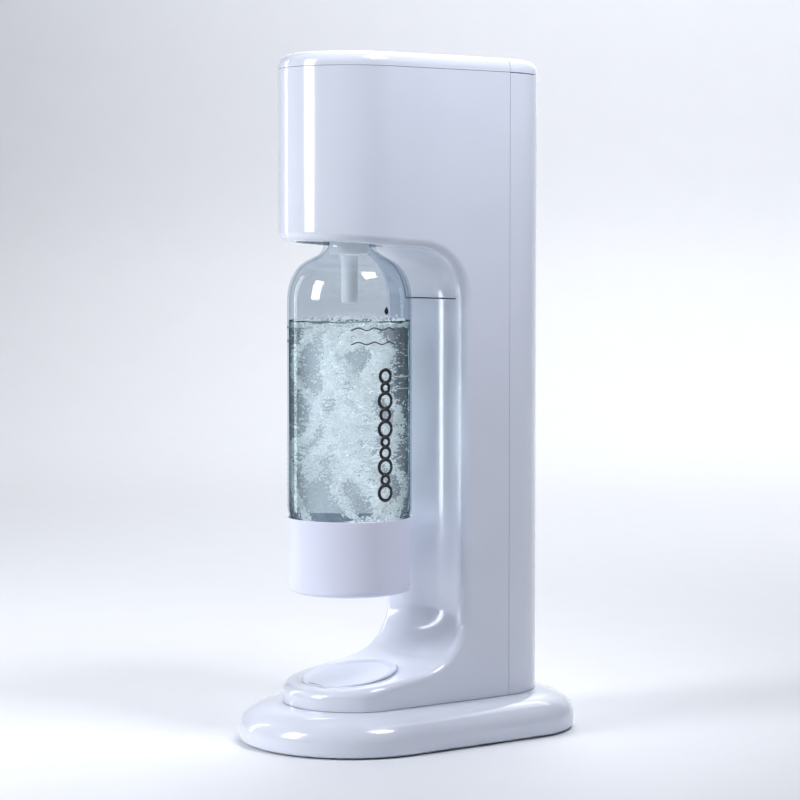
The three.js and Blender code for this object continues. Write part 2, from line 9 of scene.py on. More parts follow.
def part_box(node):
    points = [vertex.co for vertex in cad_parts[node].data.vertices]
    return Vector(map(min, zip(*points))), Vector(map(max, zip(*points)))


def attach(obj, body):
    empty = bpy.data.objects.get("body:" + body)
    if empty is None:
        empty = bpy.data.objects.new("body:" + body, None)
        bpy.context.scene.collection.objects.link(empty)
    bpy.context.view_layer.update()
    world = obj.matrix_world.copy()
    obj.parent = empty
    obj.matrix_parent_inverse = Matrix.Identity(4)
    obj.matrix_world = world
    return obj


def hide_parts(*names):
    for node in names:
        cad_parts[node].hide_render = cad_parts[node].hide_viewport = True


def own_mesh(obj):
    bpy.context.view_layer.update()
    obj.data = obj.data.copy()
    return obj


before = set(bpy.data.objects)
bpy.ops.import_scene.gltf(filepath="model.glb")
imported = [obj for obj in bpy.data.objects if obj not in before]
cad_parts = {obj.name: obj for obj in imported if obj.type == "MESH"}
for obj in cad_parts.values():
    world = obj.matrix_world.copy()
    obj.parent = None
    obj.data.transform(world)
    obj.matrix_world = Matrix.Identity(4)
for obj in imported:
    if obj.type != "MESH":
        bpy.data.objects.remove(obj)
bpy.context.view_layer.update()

MM = 0.001
bottle_low, bottle_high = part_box("bottle")
AXIS_Y = (bottle_low[1] + bottle_high[1]) / 2 / MM

# ---- driving dimensions ----
HALF_WIDTH = 48.0
FOOT_DEPTH = 45.0
SEAM_Y = 100.0
SEAM_GAP = 0.3
BODY_FLOOR = 26.3
TOP_SEAM = 453.5
TOP = 463.5
WALL = 2.5
EDGE_RADIUS = 5.6
HEAD_START = 200.0
CAP_ROUND = 8.0

BASE_HALF_WIDTH = 76.8
BASE_NOSE = 75.5
BASE_TAIL_CENTRE = 110.0
BASE_TAIL = 60.5
BASE_RIM = 1.0
CROWN_WIDTH = 26.0
CROWN_START = 9.0
CROWN_RISE = 17.0

BAY_FRONT = -90.0
UPPER_CORNER = (27.0, 298.5, 36.0)
LOWER_CORNER = (26.5, 85.0, 36.5)
UNDERSIDE_SLOPE = math.radians(3.7)
TROUGH_HALF_WIDTH = 43.4
TROUGH_DEPTH = 9.0
TROUGH_RISE = 0.5
TROUGH_LIFT = 0.6
TROUGH_VOID = 4.0
TROUGH_UPPER_END = 80
TROUGH_LOWER_END = -64
FOOT_TURN_END = math.radians(-73)
FOOT_BEND_RUN = 18.0
FOOT_BEND_HEIGHT = 44.6
FOOT_CREST = (-47.0, 38.3)
FOOT_TIP = 34.0

BOTTLE_RADIUS = 42.5
BOTTLE_BOTTOM = 101.0
CUP_TOP = 152.4
NECK_RADIUS = 17.5
MOUTH = 360.0
PET_RADIUS = BOTTLE_RADIUS - 0.4
PET_WALL = 0.9
WATER_LEVEL = 285.0
JET_REACH = 31.0
FILL_LINE_HEIGHTS = (280.6, 271.2)
INK_THICKNESS = 0.05

NECK_WAY_Y = -4.0
NECK_WAY_RADIUS = 33.0
NECK_CLEARANCE = 22.0
SHIELD_HALF_WIDTH = 29.0
SHIELD_BOTTOM = 300.0
SHIELD_TOP = 346.0
SHIELD_FRONT = 0.1
SHIELD_LIP = 0.6
SHIELD_BACK = 2.6
TILT_AXIS = 352.0
BUTTON_RADIUS = 27.5
CYLINDER_Y = 112.0
CYLINDER_RADIUS = 30.0
DISH_RADIUS = 33.0
DISH_HEIGHT = 43.6
DISH_TILT = math.radians(9.5)
TONGUE_HEIGHTS = (70, 235, 400)
TONGUE_LENGTH = 24.0
CAMERA_TURN = math.radians(54.5)
CAMERA_DIP = math.radians(3.437)


def at(x, y, z):
    return Vector((x * MM, (y + AXIS_Y) * MM, z * MM))


# ---- materials ----
def node_material(name):
    material = bpy.data.materials.new(name)
    material.use_nodes = True
    nodes = material.node_tree.nodes
    nodes.clear()
    return material, nodes, material.node_tree.links


def noise(nodes, links, scale, detail=4.0, stretch=(1, 1, 1)):
    coords = nodes.new("ShaderNodeTexCoord")
    mapping = nodes.new("ShaderNodeMapping")
    mapping.inputs["Scale"].default_value = stretch
    texture = nodes.new("ShaderNodeTexNoise")
    texture.inputs["Scale"].default_value = scale
    texture.inputs["Detail"].default_value = detail
    links.new(coords.outputs["Object"], mapping.inputs["Vector"])
    links.new(mapping.outputs["Vector"], texture.inputs["Vector"])
    return texture


def bumps(nodes, links, texture, strength, distance):
    """A normal that follows a texture's height."""
    height = nodes.new("ShaderNodeBump")
    height.inputs["Strength"].default_value = strength
    height.inputs["Distance"].default_value = distance
    links.new(texture.outputs["Fac"], height.inputs["Height"])
    return height.outputs["Normal"]


def ramp(nodes, links, source, low, high, start=0.35, end=0.65):
    band = nodes.new("ShaderNodeValToRGB")
    band.color_ramp.elements[0].position = start
    band.color_ramp.elements[1].position = end
    band.color_ramp.elements[0].color = (*low, 1)
    band.color_ramp.elements[1].color = (*high, 1)
    links.new(source, band.inputs["Fac"])
    return band.outputs["Color"]


def solid_material(name, low, high, roughness, metallic=0.0, mottle=18.0, grain=900.0, bump=0.02,
                   stretch=(1, 1, 1), coat=0.0, subsurface=0.0, wander=0.04, painted_glow=0.0):
    """A moulded, painted or turned surface: colour and roughness that drift a little, and a fine grain. Its
    glow is painted light: emission in the surface's own colour.
    """
    material, nodes, links = node_material(name)
    shader = nodes.new("ShaderNodeBsdfPrincipled")
    output = nodes.new("ShaderNodeOutputMaterial")
    drift = noise(nodes, links, mottle, 3.0, stretch)
    links.new(ramp(nodes, links, drift.outputs["Fac"], low, high), shader.inputs["Base Color"])
    spread = nodes.new("ShaderNodeMapRange")
    spread.inputs["To Min"].default_value = max(roughness - wander, 0.02)
    spread.inputs["To Max"].default_value = roughness + wander
    links.new(drift.outputs["Fac"], spread.inputs["Value"])
    links.new(spread.outputs["Result"], shader.inputs["Roughness"])
    fine = noise(nodes, links, grain, 2.0, stretch)
    links.new(bumps(nodes, links, fine, bump, 0.0004), shader.inputs["Normal"])
    shader.inputs["Metallic"].default_value = metallic
    shader.inputs["Coat Weight"].default_value = coat
    shader.inputs["Coat Roughness"].default_value = 0.04
    shader.inputs["Subsurface Weight"].default_value = subsurface
    # painted light: the glow is emission in the surface's colour, brightening a part that is no lamp
    shader.inputs["Emission Color"].default_value = (*high, 1)
    shader.inputs["Emission Strength"].default_value = painted_glow
    shader.inputs["Subsurface Radius"].default_value = (0.004, 0.004, 0.005)
    links.new(shader.outputs["BSDF"], output.inputs["Surface"])
    return material


def pet_material():
    """Thin clear plastic: see-through face on, darker and shinier at a glance."""
    material, nodes, links = node_material("clear_pet")
    output = nodes.new("ShaderNodeOutputMaterial")
    facing = nodes.new("ShaderNodeLayerWeight")
    facing.inputs["Blend"].default_value = 0.28
    pale, smoky = (0.86, 0.885, 0.905), (0.50, 0.59, 0.63)
    tint = ramp(nodes, links, facing.outputs["Facing"], pale, smoky, 0.5, 0.99)
    clear = nodes.new("ShaderNodeBsdfTransparent")
    links.new(tint, clear.inputs["Color"])
    shine = nodes.new("ShaderNodeBsdfGlossy")
    shine.inputs["Roughness"].default_value = 0.03
    shine.inputs["Color"].default_value = (0.95, 0.97, 1.0, 1)
    ripple = noise(nodes, links, 60.0, 2.0, (1, 1, 0.25))
    links.new(bumps(nodes, links, ripple, 0.12, 0.0006), shine.inputs["Normal"])
    faint, strong = (0.045, 0.045, 0.045), (0.55, 0.55, 0.55)
    mirror = ramp(nodes, links, facing.outputs["Facing"], faint, strong, 0.55, 1.0)
    blend = nodes.new("ShaderNodeMixShader")
    links.new(mirror, blend.inputs["Fac"])
    links.new(clear.outputs["BSDF"], blend.inputs[1])
    links.new(shine.outputs["BSDF"], blend.inputs[2])
    links.new(blend.outputs["Shader"], output.inputs["Surface"])
    return material


def water_material():
    """Water, pale face on and darkened to a dark green towards its outline by painted shade, with swirls in
    its surface.
    """
    material, nodes, links = node_material("fizzing_water")
    output = nodes.new("ShaderNodeOutputMaterial")
    glass = nodes.new("ShaderNodeBsdfGlass")
    facing = nodes.new("ShaderNodeLayerWeight")
    facing.inputs["Blend"].default_value = 0.35
    # the dark green at the outline is painted shade standing in for the water's dark rim
    pale, painted_edge_shade = (0.93, 0.96, 0.96), (0.10, 0.19, 0.19)
    tint = ramp(nodes, links, facing.outputs["Facing"], pale, painted_edge_shade, 0.10, 0.80)
    links.new(tint, glass.inputs["Color"])
    glass.inputs["IOR"].default_value = 1.33
    glass.inputs["Roughness"].default_value = 0.0
    swirl = noise(nodes, links, 55.0, 3.0, (1, 1, 0.5))
    links.new(bumps(nodes, links, swirl, 0.10, 0.001), glass.inputs["Normal"])
    links.new(glass.outputs["BSDF"], output.inputs["Surface"])
    return material


SHELL = solid_material("glossy_shell", (0.74, 0.775, 0.86), (0.76, 0.795, 0.88), 0.16, grain=500.0,
                       bump=0.015, coat=0.35)
DISH = solid_material("dish_satin", (0.70, 0.745, 0.85), (0.72, 0.765, 0.87), 0.36, grain=700.0, bump=0.03)
CUP = solid_material("cup_plastic", (0.77, 0.79, 0.93), (0.79, 0.81, 0.95), 0.30, grain=1200.0, bump=0.03,
                     subsurface=0.15)
# The nozzle tube's glow is painted light: emission brightens it as if lit from below, though it sits in the
# head's shadow.
NOZZLE = solid_material("nozzle_plastic", (0.82, 0.84, 0.88), (0.86, 0.88, 0.92), 0.35, bump=0.03, painted_glow=0.28)
GREY = solid_material("grey_plastic", (0.30, 0.31, 0.34), (0.36, 0.37, 0.40), 0.5, grain=1500.0, bump=0.10)
DARK = solid_material("dark_nylon", (0.035, 0.036, 0.042), (0.055, 0.056, 0.064), 0.55, grain=1300.0,
                      bump=0.2)
RUBBER = solid_material("black_rubber", (0.016, 0.016, 0.018), (0.03, 0.03, 0.032), 0.8, grain=1700.0,
                        bump=0.35)
STEEL = solid_material("zinc_steel", (0.52, 0.53, 0.55), (0.66, 0.67, 0.69), 0.3, metallic=1.0, grain=700.0,
                       bump=0.08, stretch=(1, 1, 6), wander=0.1)
BRASS = solid_material("turned_brass", (0.66, 0.48, 0.22), (0.80, 0.62, 0.32), 0.28, metallic=1.0,
                       grain=600.0, bump=0.12, stretch=(1, 1, 30), wander=0.08)
ENAMEL = solid_material("cylinder_enamel", (0.10, 0.19, 0.33), (0.12, 0.22, 0.38), 0.3, grain=420.0,
                        bump=0.12, coat=0.3)
BAND = solid_material("cylinder_band", (0.78, 0.79, 0.80), (0.84, 0.85, 0.86), 0.38, bump=0.04)
INK = solid_material("black_ink", (0.010, 0.011, 0.013), (0.022, 0.023, 0.026), 0.4, grain=1500.0,
                     bump=0.05)
# The fizz's glow is painted light: emission brightens the beads as if more light reached them through the
# water.
FOAM = solid_material("white_fizz", (0.86, 0.90, 0.92), (0.95, 0.97, 0.98), 0.25, mottle=260.0, bump=0.3,
                      painted_glow=0.26)
PET = pet_material()
WATER = water_material()


# ---- mesh tools ----
def new_object(name, data):
    obj = bpy.data.objects.new(name, data)
    bpy.context.scene.collection.objects.link(obj)
    return obj


def piece(name, verts, faces, material):
    mesh = bpy.data.meshes.new(name)
    mesh.from_pydata([at(*v) for v in verts], [], faces)
    mesh.validate()
    mesh.materials.append(material)
    return new_object(name, mesh)


def outward(obj):
    """Turns every face to look out of the solid."""
    work = bmesh.new()
    work.from_mesh(obj.data)
    bmesh.ops.recalc_face_normals(work, faces=work.faces)
    work.to_mesh(obj.data)
    work.free()
    return obj


def stacked(name, outlines):
    """A closed solid through a stack of outlines that all have the same number of points."""
    n = len(outlines[0])
    verts = [v for outline in outlines for v in outline]
    faces = [tuple(range(n - 1, -1, -1)), tuple(range(len(verts) - n, len(verts)))]
    for level in range(len(outlines) - 1):
        a, b = level * n, (level + 1) * n
        faces += [(a + i, a + (i + 1) % n, b + (i + 1) % n, b + i) for i in range(n)]
    return outward(piece(name, verts, faces, SHELL))


def prism(name, outline, z0, z1):
    """A plan outline pushed up."""
    return stacked(name, [[(x, y, z) for x, y in outline] for z in (z0, z1)])


def side_prism(name, outline, x0, x1):
    """A side outline, in y and z, pushed across."""
    return stacked(name, [[(x, y, z) for y, z in outline] for x in (x0, x1)])


def block(name, low, high):
    outline = [(low[0], low[1]), (high[0], low[1]), (high[0], high[1]), (low[0], high[1])]
    return prism(name, outline, low[2], high[2])


def arc(cx, cy, rx, ry, a0, a1, steps):
    return [(cx + rx * math.cos(a), cy + ry * math.sin(a)) for a in np.linspace(a0, a1, steps + 1)]


def post(name, x, y, z0, z1, radius, sides=96):
    return prism(name, arc(x, y, radius, radius, 0, 2 * math.pi, sides)[:-1], z0, z1)


def rounded(profile, radius, steps=5):
    """A profile of (r, z) points with its inner corners rounded, as far as the neighbours leave room."""
    points = [Vector(p) for p in profile]
    result = [tuple(points[0])]
    for before, corner, after in zip(points, points[1:], points[2:]):
        into, out = (before - corner), (after - corner)
        turn = into.angle(out, math.pi)
        if turn > math.radians(172):
            result.append(tuple(corner))
            continue
        reach = min(radius / math.tan(turn / 2), into.length * 0.45, out.length * 0.45)
        start, end = corner + into.normalized() * reach, corner + out.normalized() * reach
        for t in np.linspace(0, 1, steps + 1):
            bend = (1 - t) ** 2 * start + 2 * t * (1 - t) * corner + t ** 2 * end
            result.append(tuple(bend))
    result.append(tuple(points[-1]))
    return result


def lathe(name, profile, material, centre=(0.0, 0.0), sides=96, close=False):
    """Turns (r, z) points about an upright axis. Points at r = 0 become a single pole."""
    verts, rings = [], []
    for r, z in profile:
        if r < 1e-6:
            rings.append([len(verts)])
            verts.append((centre[0], centre[1], z))
        else:
            rings.append(list(range(len(verts), len(verts) + sides)))
            ring = arc(0, 0, r, r, 0, 2 * math.pi, sides)[:-1]
            verts += [(centre[0] + x, centre[1] + y, z) for x, y in ring]
    faces = []
    pairs = list(zip(rings, rings[1:])) + ([(rings[-1], rings[0])] if close else [])
    for a, b in pairs:
        for i in range(sides):
            j = (i + 1) % sides
            if len(a) == 1 and len(b) == 1:
                continue
            if len(a) == 1:
                faces.append((a[0], b[i], b[j]))
            elif len(b) == 1:
                faces.append((a[i], a[j], b[0]))
            else:
                faces.append((a[i], a[j], b[j], b[i]))
    return outward(piece(name, verts, faces, material))


def apply_modifiers(obj):
    graph = bpy.context.evaluated_depsgraph_get()
    final = obj.evaluated_get(graph)
    mesh = bpy.data.meshes.new_from_object(final, preserve_all_data_layers=True, depsgraph=graph)
    obj.modifiers.clear()
    obj.data = mesh
    return obj


def combine(obj, others, operation):
    """Joins other solids to obj or cuts them from it, and uses them up."""
    for other in others:
        step = obj.modifiers.new("cut", "BOOLEAN")
        step.operation = operation
        step.solver = "EXACT"
        step.object = other
        apply_modifiers(obj)
        bpy.data.objects.remove(other)
    return obj


def cut(obj, *others):
    return combine(obj, others, "DIFFERENCE")


def join(obj, *others):
    return combine(obj, others, "UNION")


def meet(obj, *others):
    return combine(obj, others, "INTERSECT")


def bevel(obj, chosen, width, segments=6):
    """Rounds the edges that chosen(edge, angle) picks, by width."""
    mesh = obj.data
    work = bmesh.new()
    work.from_mesh(mesh)
    bmesh.ops.remove_doubles(work, verts=work.verts, dist=0.00002)
    bmesh.ops.dissolve_degenerate(work, edges=work.edges, dist=0.00002)
    layers = work.edges.layers.float
    layer = layers.get("bevel_weight_edge") or layers.new("bevel_weight_edge")
    for edge in work.edges:
        angle = edge.calc_face_angle(0.0)
        edge[layer] = 1.0 if chosen(edge, angle) else 0.0
    work.to_mesh(mesh)
    work.free()
    step = obj.modifiers.new("round", "BEVEL")
    step.limit_method = "WEIGHT"
    step.width = width * MM
    step.segments = segments
    step.use_clamp_overlap = False
    return apply_modifiers(obj)


def finish_surface(obj, sharp=22.0):
    """Smooth shading with true sharp edges, and normals weighted so that large flats stay flat."""
    mesh = obj.data
    mesh.shade_smooth()
    mesh.set_sharp_from_angle(angle=math.radians(sharp))
    step = obj.modifiers.new("normals", "WEIGHTED_NORMAL")
    step.keep_sharp = True
    step.weight = 80
    return apply_modifiers(obj)


def place(obj, body, slot, *nodes):
    """Rides obj on a body and lets it stand for the CAD nodes named, which it hides. The slot is not used."""
    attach(obj, body)
    if nodes:
        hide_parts(*nodes)
    return obj


# ---- shared outlines ----
def body_plan(inset=0.0, nose=HALF_WIDTH, steps=48):
    half = HALF_WIDTH - inset
    front = arc(0, 0, half, nose - inset, -math.pi, 0, steps)
    return front + arc(0, SEAM_Y, half, half, 0, math.pi, steps)


def base_plan(inset, steps=64):
    half = BASE_HALF_WIDTH - inset
    front = arc(0, 0, half, BASE_NOSE - inset, -math.pi, 0, steps)
    return front + arc(0, BASE_TAIL_CENTRE, half, BASE_TAIL - inset, 0, math.pi, steps)


def bay_outline(grow, steps=22):
    """The bottle bay from the side, in y and z, grown into the plastic by an offset."""
    upper, lower = UPPER_CORNER, LOWER_CORNER
    start = math.pi / 2 - UNDERSIDE_SLOPE
    top = arc(upper[0], upper[1], upper[2] + grow, upper[2] + grow, start, 0, steps)
    bottom = arc(lower[0], lower[1], lower[2] + grow, lower[2] + grow, 0, FOOT_TURN_END, steps)
    (y0, z0), (y1, z1) = top[0], bottom[-1]
    bend = (y1 - FOOT_BEND_RUN, FOOT_BEND_HEIGHT - grow)
    tip = (FOOT_CREST[0], FOOT_CREST[1] - grow)
    rise = [((1 - t) ** 2 * y1 + 2 * t * (1 - t) * bend[0] + t * t * tip[0],
             (1 - t) ** 2 * z1 + 2 * t * (1 - t) * bend[1] + t * t * tip[1])
            for t in np.linspace(0, 1, 17)[1:]]
    first = (BAY_FRONT, z0 + (y0 - BAY_FRONT) * math.tan(UNDERSIDE_SLOPE))
    return [first] + top + bottom + rise + [(BAY_FRONT, FOOT_TIP - grow)]


def trough_path():
    """The trough's middle line down the bay's back, as (y, z, normal y, normal z, depth).

    The depth fades out along both of the bay's round corners.
    """
    path = []
    for (y, z, radius), fade, first, last in ((UPPER_CORNER, TROUGH_UPPER_END, TROUGH_UPPER_END, 0),
                                              (LOWER_CORNER, TROUGH_LOWER_END, 0, TROUGH_LOWER_END)):
        for turn in np.linspace(first, last, 25):
            a = math.radians(turn)
            depth = TROUGH_DEPTH * math.cos(math.radians(90 * turn / fade)) ** 2
            path.append((y + radius * math.cos(a), z + radius * math.sin(a), math.cos(a), math.sin(a), depth))
    return path


def trough_cutter(grow):
    """The hollow of the trough as a solid, grown into the plastic by an offset."""
    columns = np.linspace(-TROUGH_HALF_WIDTH, TROUGH_HALF_WIDTH, 41)
    path, verts = trough_path(), []
    for y, z, ny, nz, depth in path:
        for x in columns:
            bowl = 1 - (x / TROUGH_HALF_WIDTH) ** 2
            sink = grow + (depth + TROUGH_RISE) * bowl - TROUGH_LIFT
            verts.append((x, y + ny * sink, z + nz * sink))
    for y, z, ny, nz, depth in path:
        verts += [(x, y - TROUGH_VOID * ny, z - TROUGH_VOID * nz) for x in columns]
    rows, n = len(path), len(columns)
    back = rows * n
    faces = []
    for i in range(rows - 1):
        for j in range(n - 1):
            a, b, c, d = i * n + j, i * n + j + 1, (i + 1) * n + j + 1, (i + 1) * n + j
            faces += [(a, b, c, d), (back + d, back + c, back + b, back + a)]
        for j in (0, n - 1):
            a, d = i * n + j, (i + 1) * n + j
            faces.append((a, d, back + d, back + a))
    for i in (0, rows - 1):
        for j in range(n - 1):
            a, b = i * n + j, i * n + j + 1
            faces.append((a, back + a, back + b, b))
    return outward(piece("trough", verts, faces, SHELL))


def bay_cutter(grow):
    """The whole bay as a solid to cut away, grown by an offset."""
    span = HALF_WIDTH + 12
    return join(side_prism("bay", bay_outline(grow), -span, span), trough_cutter(grow))


# ---- foot plate ----
def crown():
    """Rings from the rim's underside up the crowned edge to the deck: (inset from the plan, height)."""
    rings = [(3.0, BASE_RIM), (1.6, BASE_RIM + 0.3), (0.5, BASE_RIM + 1.4), (0.0, BASE_RIM + 4)]
    for angle in np.linspace(0, math.pi / 2, 15):
        height = CROWN_START + CROWN_RISE * math.sin(angle) ** 0.92
        rings.append((CROWN_WIDTH * (1 - math.cos(angle)), height))
    return rings


def base_plate():
    shell = stacked("base_shell", [[(x, y, z) for x, y in base_plan(inset)] for inset, z in crown()])
    hollow = prism("hollow", base_plan(5.4), -5, 8)
    hollow = join(hollow, prism("hollow_top", base_plan(24.0), 7, 23.5))
    cut(shell, hollow, post("well", 0, CYLINDER_Y, 10, 40, CYLINDER_RADIUS + 3))
    finish_surface(shell, 30)
    place(shell, "machine", "glossy_shell", "base_plate")


# ---- main housing ----
def on_wall(edge):
    """Whether an edge of the housing lies on its outer wall, clear of the top and bottom rims."""
    for vert in edge.verts:
        x, y, z = vert.co.x / MM, vert.co.y / MM - AXIS_Y, vert.co.z / MM
        if z < BODY_FLOOR + 2 or z > TOP_SEAM - 2 or y > SEAM_Y - 2:
            return False
        nose = HALF_WIDTH if z > HEAD_START else FOOT_DEPTH
        round_off = abs(math.hypot(x / HALF_WIDTH, y / nose) - 1) * HALF_WIDTH
        off = abs(abs(x) - HALF_WIDTH) if y > 0 else round_off
        if off > 0.25:
            return False
    return True


def tilt_onto_foot(obj):
    """Lays a piece drawn about the origin on the rising top of the foot, below the bottle."""
    lift, back = Matrix.Translation(at(0, 0, DISH_HEIGHT)), Matrix.Translation(-at(0, 0, 0))
    obj.data.transform(lift @ Matrix.Rotation(DISH_TILT, 4, "X") @ back)
    return obj


def main_housing():
    shell = prism("housing_shell", body_plan(0.0, HALF_WIDTH), HEAD_START, TOP_SEAM)
    join(shell, prism("foot", body_plan(0.0, FOOT_DEPTH), BODY_FLOOR, HEAD_START))
    cut(shell, bay_cutter(0.0))
    cut(shell, tilt_onto_foot(post("dish_seat", 0, 0, -0.6, 20, DISH_RADIUS + SEAM_GAP)))
    bevel(shell, lambda edge, angle: angle > math.radians(35) and on_wall(edge), EDGE_RADIUS, 10)
    cut(shell, block("rear", (-60, SEAM_Y - SEAM_GAP / 2, 0), (60, 170, 500)))
    hollow = prism("head_hollow", body_plan(WALL), HEAD_START, TOP_SEAM + 5)
    join(hollow, prism("foot_hollow", body_plan(WALL, FOOT_DEPTH), BODY_FLOOR - 5, HEAD_START))
    cut(hollow, bay_cutter(WALL + 0.4))
    cut(hollow, tilt_onto_foot(post("dish_pad", 0, 0, -3.5, 30, DISH_RADIUS + 2.5)))
    cut(shell, hollow)
    cut(shell, post("neck_way", 0, NECK_WAY_Y, 320, 348, NECK_WAY_RADIUS))
    w = SHIELD_HALF_WIDTH + 0.7
    cut(shell, block("shield_way", (-w, 0, SHIELD_BOTTOM - 0.8), (w, 80, SHIELD_TOP)))
    finish_surface(shell, 16)
    place(shell, "machine", "glossy_shell", "main_housing")


def drip_dish():
    r = DISH_RADIUS
    profile = [(0, -0.3), (r - 0.4, -0.3), (r, 0.2), (r, 0.9), (r - 0.8, 1.7), (r - 2.4, 1.5),
               (r - 6, 0.5), (r - 12, 0.1), (r - 20, -0.05), (0, -0.1)]
    dish = lathe("drip_dish_fine", rounded(profile, 0.5), DISH, sides=128)
    tilt_onto_foot(dish)
    finish_surface(dish, 40)
    place(dish, "machine", "glossy_shell", "drip_dish")


# ---- rear cover and top ----
def rear_cover():
    front, top = SEAM_Y + SEAM_GAP / 2, TOP_SEAM - SEAM_GAP
    shell = prism("rear_cover_shell", body_plan(), BODY_FLOOR, top)
    cut(shell, prism("inside", body_plan(WALL), 0, 500))
    cut(shell, block("front", (-60, -60, 0), (60, front, 500)))
    rear = SEAM_Y + HALF_WIDTH
    pocket = block("pocket", (-20, rear - 9, 372), (20, rear + 2, 396))
    join(shell, meet(pocket, prism("skin", body_plan(0.3), 0, 500)))
    grip = block("grip", (-17, rear - 6, 375), (17, rear + 8, 393))
    inner_end = (rear + AXIS_Y) * MM
    bevel(grip, lambda edge, angle: angle > 1 and max(v.co.y for v in edge.verts) < inner_end, 4, 5)
    cut(shell, grip)
    for side in (-1, 1):
        inner, outer = HALF_WIDTH - WALL - 3, HALF_WIDTH - WALL - SEAM_GAP
        tongue = sorted((side * inner, side * outer))
        root = sorted((side * (outer - 0.5), side * (HALF_WIDTH - 1)))
        for z in TONGUE_HEIGHTS:
            high = z + TONGUE_LENGTH
            join(shell, block("tongue", (tongue[0], front - 7, z), (tongue[1], front + 4, high)))
            join(shell, block("root", (root[0], front, z), (root[1], front + 4, high)))
    finish_surface(shell, 20)
    place(shell, "cover", "glossy_shell", "rear_cover")


def cap_shell(name):
    """The whole top with its rounded rim, hollow from below."""
    steps = [(0.0, TOP_SEAM + SEAM_GAP)]
    for angle in np.linspace(0, math.pi / 2, 13):
        steps.append((CAP_ROUND * (1 - math.cos(angle)), TOP - CAP_ROUND + CAP_ROUND * math.sin(angle)))
    shell = stacked(name, [[(x, y, z) for x, y in body_plan(inset)] for inset, z in steps])
    return cut(shell, prism("inside", body_plan(3.2), TOP_SEAM - 5, TOP - WALL))


def top_covers():
    front = cap_shell("top_cover_shell")
    cut(front, block("behind", (-60, SEAM_Y - SEAM_GAP / 2, 400), (60, 170, 500)))
    cut(front, post("button_way", 0, 0, 440, 480, BUTTON_RADIUS + 0.6, 128))
    deck = (TOP - 0.1) * MM
    bevel(front, lambda edge, angle: angle > 1 and min(v.co.z for v in edge.verts) > deck, 0.6, 3)
    finish_surface(front, 25)
    place(front, "machine", "glossy_shell", "top_cover")
    rear = cap_shell("rear_cap_shell")
    cut(rear, block("before", (-60, -60, 400), (60, SEAM_Y + SEAM_GAP / 2, 500)))
    finish_surface(rear, 25)
    place(rear, "cover", "glossy_shell", "rear_cap")


def button():
    r = BUTTON_RADIUS
    profile = [(0, 458.5), (r - 2.5, 458.5), (r - 2.5, 454.5), (r, 454.5), (r, 464.4), (r - 9, 464.9),
               (r - 13, 464.3), (0, 463.9)]
    cap = lathe("button_fine", rounded(profile, 1.2), SHELL, sides=128)
    rod = [(0, 427.8), (7, 427.8), (7, 459), (0, 459)]
    stem = lathe("button_stem", rounded(rod, 0.6), NOZZLE, sides=48)
    finish_surface(cap, 35)
    finish_surface(stem, 35)
    place(stem, "button", "white_nozzle")
    place(cap, "button", "glossy_shell", "carbonating_button")


# ---- turned parts ----
def turned_part(name, profile, material, body, slot, nodes, radius=0.5, centre=(0.0, 0.0), sides=64,
                close=False):
    obj = lathe(name, rounded(profile, radius), material, centre, sides, close)
    finish_surface(obj, 35)
    return place(obj, body, slot, *nodes)


def gas_side():
    r, y = CYLINDER_RADIUS, (0.0, CYLINDER_Y)
    wall = [(0, 30), (14, 28.2), (22, 26), (26, 26.6), (r - 0.8, 30), (r, 34), (r, 332), (r - 1.6, 341),
            (r - 6, 350), (r - 12, 356), (14, 359), (13.5, 366), (0, 366)]
    turned_part("gas_cylinder_fine", wall, ENAMEL, "cylinder", "cylinder_paint", ["co2_cylinder"], 4, y, 128)
    band = [(r + 0.12, 150), (r + 0.12, 250), (r + 0.02, 250.2), (r + 0.02, 149.8)]
    turned_part("cylinder_plain_band", band, BAND, "cylinder", "cylinder_paint", [], 0.05, y, 128, True)
    valve = [(0, 366.3), (12, 366.3), (13.4, 368), (13.4, 380), (12, 382), (10.4, 382.4), (10.4, 384),
             (9.7, 384.6), (10.4, 385.4), (9.7, 386.4), (10.4, 387.4), (9.7, 388.4), (10.4, 389.4),
             (9.7, 390.4), (10.4, 391.4), (10.2, 397), (9.6, 398), (3, 398), (2.4, 392), (0, 392)]
    turned_part("cylinder_valve_fine", valve, BRASS, "cylinder", "brass", ["cylinder_valve"], 0.3, y)
    body = [(2.6, 414), (2.6, 400.5), (11, 400.5), (11, 384), (15, 384), (15, 403.7), (9, 403.7), (9, 414)]
    turned_part("gas_valve_fine", body, BRASS, "machine", "brass", ["gas_valve_body"], 0.5, y, 64, True)
    pin = [(0, 401), (2, 401), (2, 417.6), (1.4, 418), (0, 418)]
    turned_part("valve_pin_fine", pin, STEEL, "pin", "steel", ["valve_pin"], 0.3, y, 32)


def feet():
    for place_name in ("front_left", "front_right", "rear_left", "rear_right"):
        node = "rubber_foot_" + place_name
        low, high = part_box(node)
        x, y = (low[0] + high[0]) / 2 / MM, (low[1] + high[1]) / 2 / MM - AXIS_Y
        profile = [(0, 0), (8.4, 0), (9, 0.8), (9, 3.2), (0, 3.2)]
        turned_part(node + "_fine", profile, RUBBER, "machine", "rubber", [node], 0.5, (x, y), 48)


